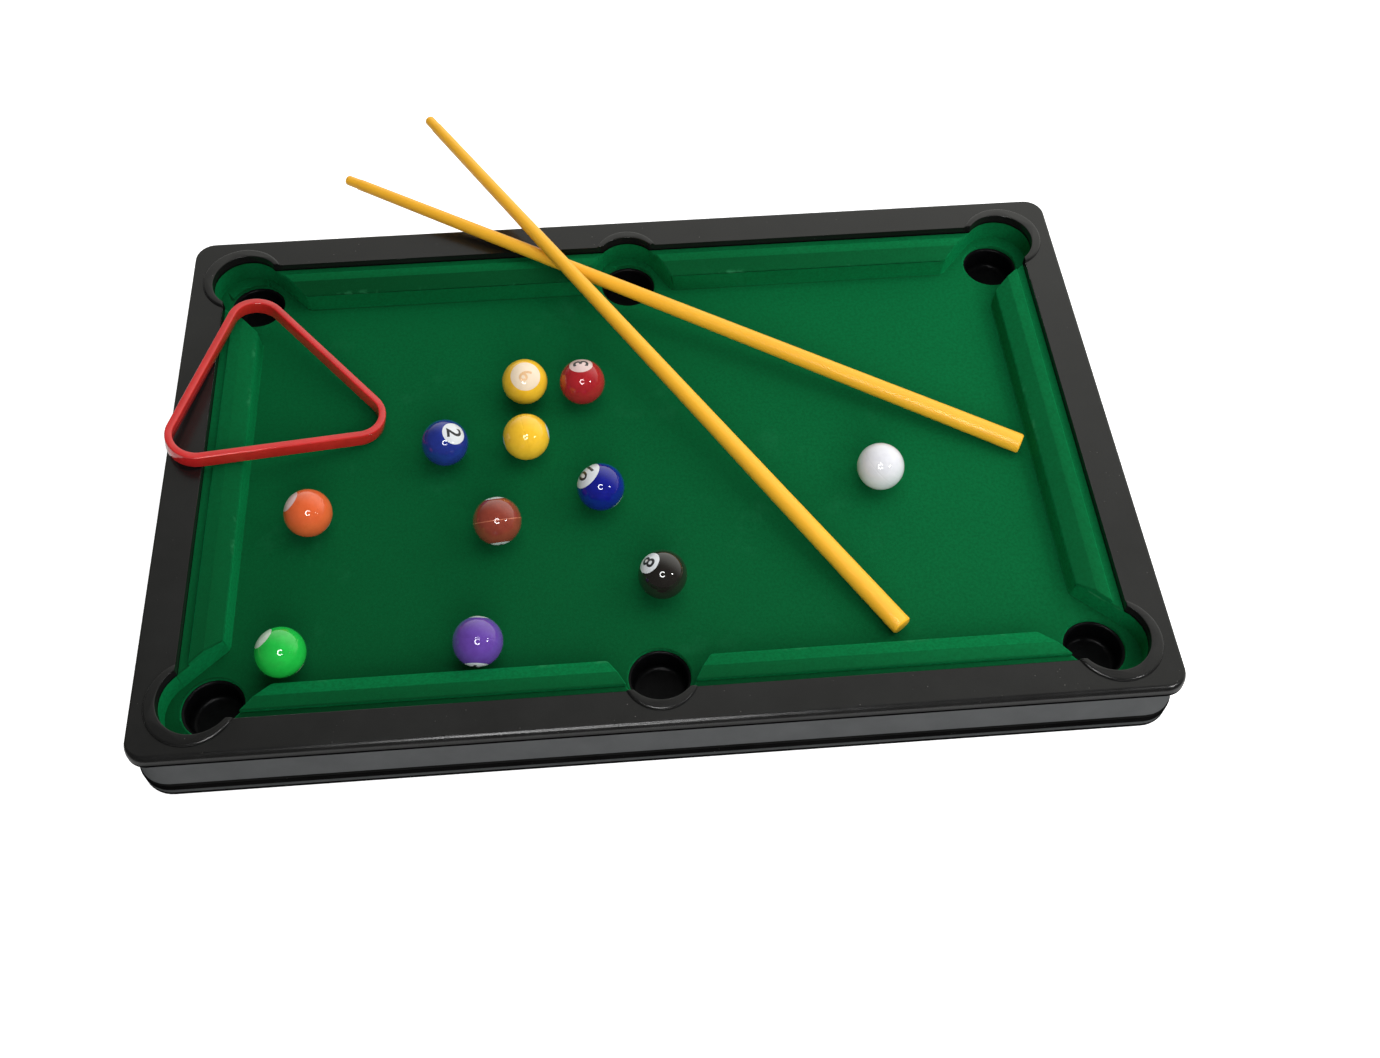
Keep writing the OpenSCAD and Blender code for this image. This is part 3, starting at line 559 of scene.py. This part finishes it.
def tray_rounding(p, edge):
    """Flock softens what shows: ends of the cushions, rims of the holes and the inner corners.
    Under the rail only the rims of the holes are softened."""
    under_rail = abs(p.x) > opening_half_x - 0.1 or abs(p.y) > opening_half_y - 0.1
    if under_rail or p.z < bed_top - 0.1:
        return 0.8 if edge.is_convex and abs(p.z - bed_top) < 0.05 else 0
    if edge.is_convex:
        return 0.9
    return 0.5 if p.z < ledge_top - 1 else 0.3


CUSHION_SIDES = ("back_left", "back_right", "front_left", "front_right", "left", "right")
cushions = ["cushion_" + side for side in CUSHION_SIDES]
bays = ["pocket_bay_" + side for side in POCKET_SIDES]
playing_tray = moulded_copy("flocked_tray", ["playing_bed"] + cushions + bays, tray_rounding)
playing_tray.data.materials.append(flock)
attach(playing_tray, "table")
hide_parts("playing_bed", *cushions, *bays)


# ---------------------------------------------------------------- Base
# The lower shell is a second black moulding with a slightly coarser grain. It carries
# the bed on ribs, seats the cups and closes the table underneath.

band_corner = 16


def base_rounding(p, edge):
    """Fine radius on the band's outer edges."""
    out = beyond(p, table_half_x, table_half_y, band_corner)
    return 0.5 if edge.is_convex and out > 0 else 0


base_black = grained_plastic(
    "base_black", (0.0025, 0.0025, 0.0025), (0.005, 0.005, 0.005), 0.32, 0.42, 1900.0, 0.00005, 0.35)
# A pale grey line low round the band is a painted highlight along its lower edge; it is a little
# rougher too.
painted_light_and_finish_by_height(base_black, 3.6, 6.2, (0.06, 0.063, 0.064), 0.5)
# The underside is painted lighter than the rest of the base: painted light, so that it shows though
# no lamp reaches it.
painted_light_and_finish_by_height(base_black, -1.0, 0.8, (0.014, 0.014, 0.0145), 0.45)
mirror_by_height(base_black, 0.6, 1.6, 0.5, 0.0)
for node in ("base_rim", "bottom_panel", "bed_ribs"):
    lower_shell = moulded_copy(node + "_shell", [node], base_rounding)
    lower_shell.data.materials.append(base_black)
    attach(lower_shell, "table")
    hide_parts(node)


# ---------------------------------------------------------------- Pocket cups
# Six equal cups in glossy black plastic catch the balls. Each has a rolled mouth
# under the hole in the bed and stands in a ring on the base tray's floor.

def made_surface_group():
    """Slow mottle, finer change of gloss and faint waves, as moulding and handling leave them."""
    g = bpy.data.node_groups.new("made_surface", "ShaderNodeTree")
    g.interface.new_socket("Point", in_out="INPUT", socket_type="NodeSocketVector")
    grades = (("Mottle", 4, 0.6), ("Gloss", 5, 0.7), ("Wave", 2, 0.55))
    for name, _, _ in grades:
        g.interface.new_socket(name + " Scale", in_out="INPUT", socket_type="NodeSocketFloat")
        g.interface.new_socket(name, in_out="OUTPUT", socket_type="NodeSocketFloat")
    i = g.nodes.new("NodeGroupInput")
    o = g.nodes.new("NodeGroupOutput")
    for name, detail, rough in grades:
        tex = g.nodes.new("ShaderNodeTexNoise")
        tex.inputs["Detail"].default_value = detail
        tex.inputs["Roughness"].default_value = rough
        g.links.new(i.outputs["Point"], tex.inputs["Vector"])
        g.links.new(i.outputs[name + " Scale"], tex.inputs["Scale"])
        g.links.new(spread(g, tex.outputs["Fac"], 0, 1), o.inputs[name])
    return g


made_surface = made_surface_group()


def every_edge(width):
    """The same rounding in millimetres for every sharp edge of a piece."""
    return lambda p, edge: width


def plain_surface(name, colour, deep, rough, scales, depth):
    """Material between two close colours, with its roughness from and to, the scales of its
    mottle, gloss and waves, and the waves' depth in metres."""
    mat, tree, shader = open_material(name)
    g = tree.nodes.new("ShaderNodeGroup")
    g.node_tree = made_surface
    tree.links.new(object_point(tree), g.inputs["Point"])
    for grade, scale in zip(("Mottle Scale", "Gloss Scale", "Wave Scale"), scales):
        g.inputs[grade].default_value = scale
    mottled = blend_colour(tree, g.outputs["Mottle"], colour, deep)
    tree.links.new(mottled, shader.inputs["Base Color"])
    gloss = spread(tree, g.outputs["Gloss"], rough[0], rough[1], 0, 1)
    tree.links.new(gloss, shader.inputs["Roughness"])
    bumped(tree, shader, g.outputs["Wave"], depth)
    return mat, shader


cup_black, shader = plain_surface(
    "cup_black", (0.002, 0.002, 0.0024), (0.004, 0.004, 0.0044), (0.26, 0.36), (300, 120, 200),
    0.000002)
shader.inputs["Specular IOR Level"].default_value = 0.07
for side in POCKET_SIDES:
    cup = moulded_copy("cup_" + side, ["pocket_cup_" + side], every_edge(0.2))
    cup.data.materials.append(cup_black)
    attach(cup, "table")
    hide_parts("pocket_cup_" + side)


# ---------------------------------------------------------------- Screws and pads
# Zinc-plated pan-head screws pull the base tray up to the rail frame, and four
# die-cut rubber pads are pressed into recesses under it.

zinc, shader = plain_surface(
    "screw_zinc", (0.42, 0.43, 0.45), (0.6, 0.6, 0.58), (0.25, 0.45), (900, 1500, 1200), 0.00001)
shader.inputs["Metallic"].default_value = 1.0
screws = moulded_copy("case_screws", ["assembly_screws"], every_edge(0.12))
screws.data.materials.append(zinc)
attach(screws, "table")
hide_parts("assembly_screws")

pad_rubber, _ = plain_surface(
    "pad_rubber", (0.016, 0.016, 0.016), (0.035, 0.034, 0.033), (0.8, 0.9), (700, 500, 1600), 0.00004)
pads = moulded_copy("rubber_pads", ["foot_pads"], every_edge(0.3))
pads.data.materials.append(pad_rubber)
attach(pads, "table")
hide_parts("foot_pads")


# ---------------------------------------------------------------- Balls
# Each ball is two hollow halves of hard glossy plastic welded at a fine seam, with the
# stub of its gate on the seam. White caps and a thin black number are printed at both poles.

def ball_plastic(name, colour, deep, rough=0.02):
    """Polished, slightly uneven moulded plastic under a clear coat."""
    mat, shader = plain_surface(name, colour, deep, (rough, rough + 0.06), (220, 480, 160), 0.000003)
    shader.inputs["Coat Weight"].default_value = 0.4
    shader.inputs["Coat Roughness"].default_value = 0.02
    return mat


def printed_ink(name, colour, deep):
    """Thin dull ink, a little uneven where it was stamped."""
    return plain_surface(name, colour, deep, (0.25, 0.35), (2500, 1200, 900), 0.000002)[0]


ink = printed_ink("number_ink", (0.012, 0.012, 0.014), (0.03, 0.03, 0.034))
pale_ink = printed_ink("pale_number_ink", (0.72, 0.42, 0.2), (0.8, 0.52, 0.28))
cap_white = ball_plastic("cap_white", (0.72, 0.75, 0.78), (0.66, 0.69, 0.72))
cap_rosy = ball_plastic("cap_rosy", (0.74, 0.55, 0.53), (0.68, 0.5, 0.48))
cap_pale_green = ball_plastic("cap_pale_green", (0.58, 0.7, 0.58), (0.52, 0.64, 0.52))
cap_cream = ball_plastic("cap_cream", (0.9, 0.74, 0.56), (0.86, 0.7, 0.52))


def pole_frame(azimuth, elevation, turn):
    """Axes of a ball: z through the printed pole, y up the printed number."""
    a, e = math.radians(azimuth), math.radians(elevation)
    z = Vector((math.cos(a) * math.cos(e), math.sin(a) * math.cos(e), math.sin(e)))
    y = Vector((0, 1, 0)) - z * z.y
    if y.length < 0.2:
        y = Vector((0, 0, 1)) - z * z.z
    y.normalize()
    x = y.cross(z)
    return Matrix((x, y, z)).transposed() @ Matrix.Rotation(math.radians(turn), 3, "Z")


def next_step(tree, kind, geometry, **inputs):
    """A geometry node on the last step's geometry, its other inputs given as values or sockets."""
    n = tree.nodes.new(kind)
    tree.links.new(geometry, n.inputs[0])
    for name, value in inputs.items():
        socket = n.inputs[name.replace("_", " ")]
        if isinstance(value, bpy.types.NodeSocket):
            tree.links.new(value, socket)
        else:
            socket.default_value = value
    return n.outputs[0]


def ball_shell_tree():
    """Ball lathed round z from a grid of rows that run from pole to pole, a few degrees apart. One
    row is moved onto each cap's edge, and three lie on the seam, the middle one sunk."""
    g = bpy.data.node_groups.new("ball_shell", "GeometryNodeTree")
    for name in ("Radius", "Cap Angle", "Seam Angle", "Seam Depth"):
        g.interface.new_socket(name, in_out="INPUT", socket_type="NodeSocketFloat")
    for name in ("Plastic", "Cap Plastic", "Seam Plastic"):
        g.interface.new_socket(name, in_out="INPUT", socket_type="NodeSocketMaterial")
    g.interface.new_socket("Shell", in_out="OUTPUT", socket_type="NodeSocketGeometry")
    i = g.nodes.new("NodeGroupInput")
    o = g.nodes.new("NodeGroupOutput")
    around = 96
    row_angle = math.radians(3)
    to_pole = round(math.pi / 2 / row_angle) + 1
    near_cap = math.radians(1.6)

    grid = g.nodes.new("GeometryNodeMeshGrid")
    for name, value in (("Size X", 2 * to_pole), ("Vertices X", 2 * to_pole + 1),
                        ("Size Y", around), ("Vertices Y", around + 1)):
        grid.inputs[name].default_value = value

    # On the grid, X counts the rows from the seam and Y turns round the ball.
    where = g.nodes.new("GeometryNodeInputPosition").outputs["Position"]
    place = g.nodes.new("ShaderNodeSeparateXYZ")
    g.links.new(where, place.inputs[0])
    row = maths(g, "ABSOLUTE", place.outputs["X"])
    seam_row = maths(g, "MULTIPLY", maths(g, "MINIMUM", row, 1.0), i.outputs["Seam Angle"])
    plain_row = maths(g, "MULTIPLY", maths(g, "SUBTRACT", row, 1.0), row_angle)
    from_seam = maths(g, "MAXIMUM", seam_row, plain_row)
    cap_row = maths(g, "SUBTRACT", math.pi / 2, i.outputs["Cap Angle"])
    to_cap = maths(g, "SUBTRACT", cap_row, from_seam)
    moved = maths(g, "LESS_THAN", maths(g, "ABSOLUTE", to_cap), near_cap)
    latitude = maths(g, "ADD", from_seam, maths(g, "MULTIPLY", to_cap, moved))
    latitude = maths(g, "MULTIPLY", latitude, maths(g, "SIGN", place.outputs["X"]))
    turn = maths(g, "MULTIPLY", place.outputs["Y"], 2 * math.pi / around)
    sunk = maths(g, "MULTIPLY", maths(g, "LESS_THAN", row, 0.5), i.outputs["Seam Depth"])
    reach = maths(g, "SUBTRACT", i.outputs["Radius"], sunk)
    out = maths(g, "MULTIPLY", reach, maths(g, "COSINE", latitude))
    spot = g.nodes.new("ShaderNodeCombineXYZ")
    g.links.new(maths(g, "MULTIPLY", out, maths(g, "COSINE", turn)), spot.inputs["X"])
    g.links.new(maths(g, "MULTIPLY", out, maths(g, "SINE", turn)), spot.inputs["Y"])
    down = maths(g, "MULTIPLY", reach, maths(g, "SINE", latitude))
    g.links.new(maths(g, "MULTIPLY", down, -1.0), spot.inputs["Z"])

    lathed = next_step(g, "GeometryNodeSetPosition", grid.outputs["Mesh"], Position=spot.outputs[0])
    closed = next_step(g, "GeometryNodeMergeByDistance", lathed, Distance=0.001 * MM)
    smooth = next_step(g, "GeometryNodeSetShadeSmooth", closed, Shade_Smooth=True)
    whole = next_step(g, "GeometryNodeRealizeInstances", smooth)

    # On the finished ball, the same place gives how far a face rises from the seam to a pole.
    length = g.nodes.new("ShaderNodeVectorMath")
    length.operation = "LENGTH"
    g.links.new(where, length.inputs[0])
    rise = maths(g, "DIVIDE", maths(g, "ABSOLUTE", place.outputs["Z"]), length.outputs["Value"])
    in_cap = maths(g, "GREATER_THAN", rise, maths(g, "COSINE", i.outputs["Cap Angle"]))
    in_seam = maths(g, "LESS_THAN", rise, maths(g, "SINE", i.outputs["Seam Angle"]))
    shell = next_step(g, "GeometryNodeSetMaterial", whole, Material=i.outputs["Plastic"])
    for part, plastic in ((in_cap, "Cap Plastic"), (in_seam, "Seam Plastic")):
        shell = next_step(
            g, "GeometryNodeSetMaterial", shell, Selection=part, Material=i.outputs[plastic])
    g.links.new(shell, o.inputs["Shell"])
    return g


ball_shell = ball_shell_tree()


def lathed_shell(name, values):
    """A plain mesh from the ball tree, given a value for each of its named inputs."""
    piece = bpy.data.objects.new(name, bpy.data.meshes.new(name))
    bpy.context.collection.objects.link(piece)
    lathe = piece.modifiers.new("lathed", "NODES")
    lathe.node_group = ball_shell
    for socket in ball_shell.interface.items_tree:
        if socket.in_out == "INPUT":
            lathe[socket.identifier] = values[socket.name]
    finished(piece)
    piece.data.materials.pop(index=0)  # the empty slot that a grid starts with
    return piece


stroke_swell = 0.016
ink_proud = 0.02 * MM


def printed_number(bm, text, radius, size, pole, slot):
    """Thin number in a material slot's ink, wrapped on the ball's pole and just proud of it."""
    curve = bpy.data.curves.new("number", "FONT")
    curve.body = text
    curve.size = size
    curve.align_x, curve.align_y = "CENTER", "CENTER"
    curve.offset = stroke_swell * size
    holder = bpy.data.objects.new("number", curve)
    bpy.context.collection.objects.link(holder)
    graph = bpy.context.evaluated_depsgraph_get()
    flat = bpy.data.meshes.new_from_object(holder.evaluated_get(graph))
    bpy.data.objects.remove(holder)
    part = bmesh.new()
    part.from_mesh(flat)
    bmesh.ops.triangulate(part, faces=part.faces)
    longest_chord = 0.6 * MM
    for _ in range(3):
        long_edges = [e for e in part.edges if e.calc_length() > longest_chord]
        if long_edges:
            bmesh.ops.subdivide_edges(part, edges=long_edges, cuts=1)
            bmesh.ops.triangulate(part, faces=part.faces)
    xs = [v.co.x for v in part.verts]
    ys = [v.co.y for v in part.verts]
    middle = Vector(((min(xs) + max(xs)) / 2, (min(ys) + max(ys)) / 2, 0))
    made = {}
    for v in part.verts:
        p = v.co - middle
        p.z = math.sqrt(max(radius * radius - p.x * p.x - p.y * p.y, 0))
        p = p * ((radius + ink_proud) / p.length)
        if pole < 0:
            p = Vector((-p.x, p.y, -p.z))
        made[v] = bm.verts.new(p)
    for f in part.faces:
        corners = [made[v] for v in f.verts]
        if bm.faces.get(corners):
            continue
        new = bm.faces.new(corners)
        new.smooth = True
        new.material_index = slot
        new.normal_update()
        if new.normal.dot(new.verts[0].co) < 0:
            new.normal_flip()
    part.free()
    bpy.data.meshes.remove(flat)


def gate_stub(bm, radius, angle):
    """Small round stub left on the seam where the plastic entered the mould, lathed from its
    foot to its dished middle by reach from its axis and height above the ball, in millimetres."""
    around = 20
    a = math.radians(angle)
    out = Vector((math.cos(a), math.sin(a), 0))
    side = Vector((-math.sin(a), math.cos(a), 0))
    up = Vector((0, 0, 1))
    rings = []
    for reach, height in ((0.75, 0.0), (0.6, 0.05), (0.35, 0.05), (0.2, 0.01)):
        ring = []
        for k in range(around):
            b = 2 * math.pi * k / around
            p = out * radius + (side * math.cos(b) + up * math.sin(b)) * reach * MM
            ring.append(bm.verts.new(p.normalized() * (radius + height * MM)))
        rings.append(ring)
    for i in range(len(rings) - 1):
        for k in range(around):
            j = (k + 1) % around
            bm.faces.new((rings[i][k], rings[i][j], rings[i + 1][j], rings[i + 1][k])).smooth = True
    bm.faces.new(rings[-1]).smooth = True


yellow = ball_plastic("ball_yellow", (0.95, 0.56, 0.035), (0.88, 0.5, 0.028))
red = ball_plastic("ball_red", (0.42, 0.018, 0.026), (0.35, 0.014, 0.02))
deep_blue = ball_plastic("ball_deep_blue", (0.008, 0.012, 0.26), (0.006, 0.009, 0.2))
blue = ball_plastic("ball_blue", (0.018, 0.035, 0.27), (0.014, 0.027, 0.21))
purple = ball_plastic("ball_purple", (0.13, 0.058, 0.36), (0.11, 0.046, 0.3))
orange = ball_plastic("ball_orange", (0.76, 0.135, 0.04), (0.68, 0.11, 0.03))
green = ball_plastic("ball_green", (0.016, 0.5, 0.06), (0.012, 0.42, 0.05))
brown = ball_plastic("ball_brown", (0.27, 0.05, 0.03), (0.22, 0.038, 0.024))
weld_bead = ball_plastic("weld_bead", (0.62, 0.2, 0.11), (0.3, 0.06, 0.035), 0.2)
black = ball_plastic("ball_black", (0.016, 0.014, 0.012), (0.012, 0.01, 0.009))
white = ball_plastic("ball_white", (0.76, 0.76, 0.8), (0.7, 0.7, 0.75))

# Ball, its plastic and cap plastic, its ink, azimuth and elevation of the pole, cap's
# half angle, turn of the number and place of the gate stub on the seam, in degrees. The number
# on the upper pole of some has worn off, and on one the weld's bead was left standing. A wide
# cap's number takes less of the cap.
BALLS = [
    ("ball_1", yellow, cap_white, ink, "1", 10, 6, 21, 0, 200),
    ("ball_2", blue, cap_white, ink, "2", -12, 59, 30, -80, 130),
    ("ball_3", red, cap_rosy, ink, "3", 92, 72, 31, 90, 150),
    ("ball_4", purple, cap_white, ink, "4", -95, -20, 28, 0, 170),
    ("ball_5", orange, cap_rosy, ink, "5", 161, 42, 28, 40, 60),
    ("ball_6", green, cap_pale_green, ink, "6", 150, 43, 28, 40, 250),
    ("ball_7", brown, cap_white, ink, "7", 95, 31, 26, 0, 0),
    ("ball_8", black, cap_white, ink, "8", 165, 54, 28, 50, 300),
    ("ball_9", yellow, cap_cream, pale_ink, "9", -75, 68, 40, 130, 40),
    ("ball_10", deep_blue, cap_white, ink, "10", 157, 46, 39.5, -140, 220),
    ("cue_ball", white, white, None, "", 20, 40, 0, 0, 100),
]
WORN_OFF = ("ball_5", "ball_6")
BEADED = ("ball_7",)
groove_angle, groove_depth = 0.5, 0.04
bead_angle = 1.1
wide_cap = 35
number_share = 1.8
number_share_wide = 1.35

for node, plastic, cap_plastic, number_ink, text, azimuth, elevation, cap, turn, gate in BALLS:
    low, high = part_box(node)
    centre = (low + high) / 2
    radius = (high.z - low.z) / 2
    beaded = node in BEADED
    ball = lathed_shell(node + "_moulded", {
        "Radius": radius, "Cap Angle": math.radians(cap),
        "Seam Angle": math.radians(bead_angle if beaded else groove_angle),
        "Seam Depth": 0.0 if beaded else groove_depth * MM,
        "Plastic": plastic, "Cap Plastic": cap_plastic,
        "Seam Plastic": weld_bead if beaded else plastic})
    bm = bmesh.new()
    bm.from_mesh(ball.data)
    gate_stub(bm, radius, gate)
    if text:
        share = number_share if cap < wide_cap else number_share_wide
        size = radius * math.sin(math.radians(cap)) * share
        slot = len(ball.data.materials)
        ball.data.materials.append(number_ink)
        for pole in (-1,) if node in WORN_OFF else (1, -1):
            printed_number(bm, text, radius, size, pole, slot)
    axes = pole_frame(azimuth, elevation, turn)
    bmesh.ops.transform(bm, matrix=Matrix.Translation(centre) @ axes.to_4x4(), verts=bm.verts)
    bm.to_mesh(ball.data)
    bm.free()
    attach(ball, node)
    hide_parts(node)


# ---------------------------------------------------------------- Rack
# The triangle is a single thin-walled moulding in red plastic, glossy on its flat
# faces, with edges rounded by the tool.

rack_red, shader = plain_surface(
    "rack_red", (0.6, 0.02, 0.02), (0.5, 0.014, 0.014), (0.1, 0.18), (90, 150, 60), 0.00001)
shader.inputs["Coat Weight"].default_value = 0.6
shader.inputs["Coat Roughness"].default_value = 0.06
rack = moulded_copy("ball_rack", ["rack"], every_edge(0.7))
rack.data.materials.append(rack_red)
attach(rack, "rack")
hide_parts("rack")


# ---------------------------------------------------------------- Cues
# Both cues are solid tapered rods in yellow-orange plastic with a turned-down tip.
# Fine flow lines from the mould run along them.

cue_yellow, _ = plain_surface(
    "cue_yellow", (0.98, 0.5, 0.03), (0.96, 0.47, 0.027), (0.34, 0.42), (45, 170, 1500), 0.0000005)
for node in ("cue_a", "cue_b"):
    cue = moulded_copy(node + "_rod", [node], every_edge(0.15))
    cue.data.materials.append(cue_yellow)
    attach(cue, node)
    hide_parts(node)
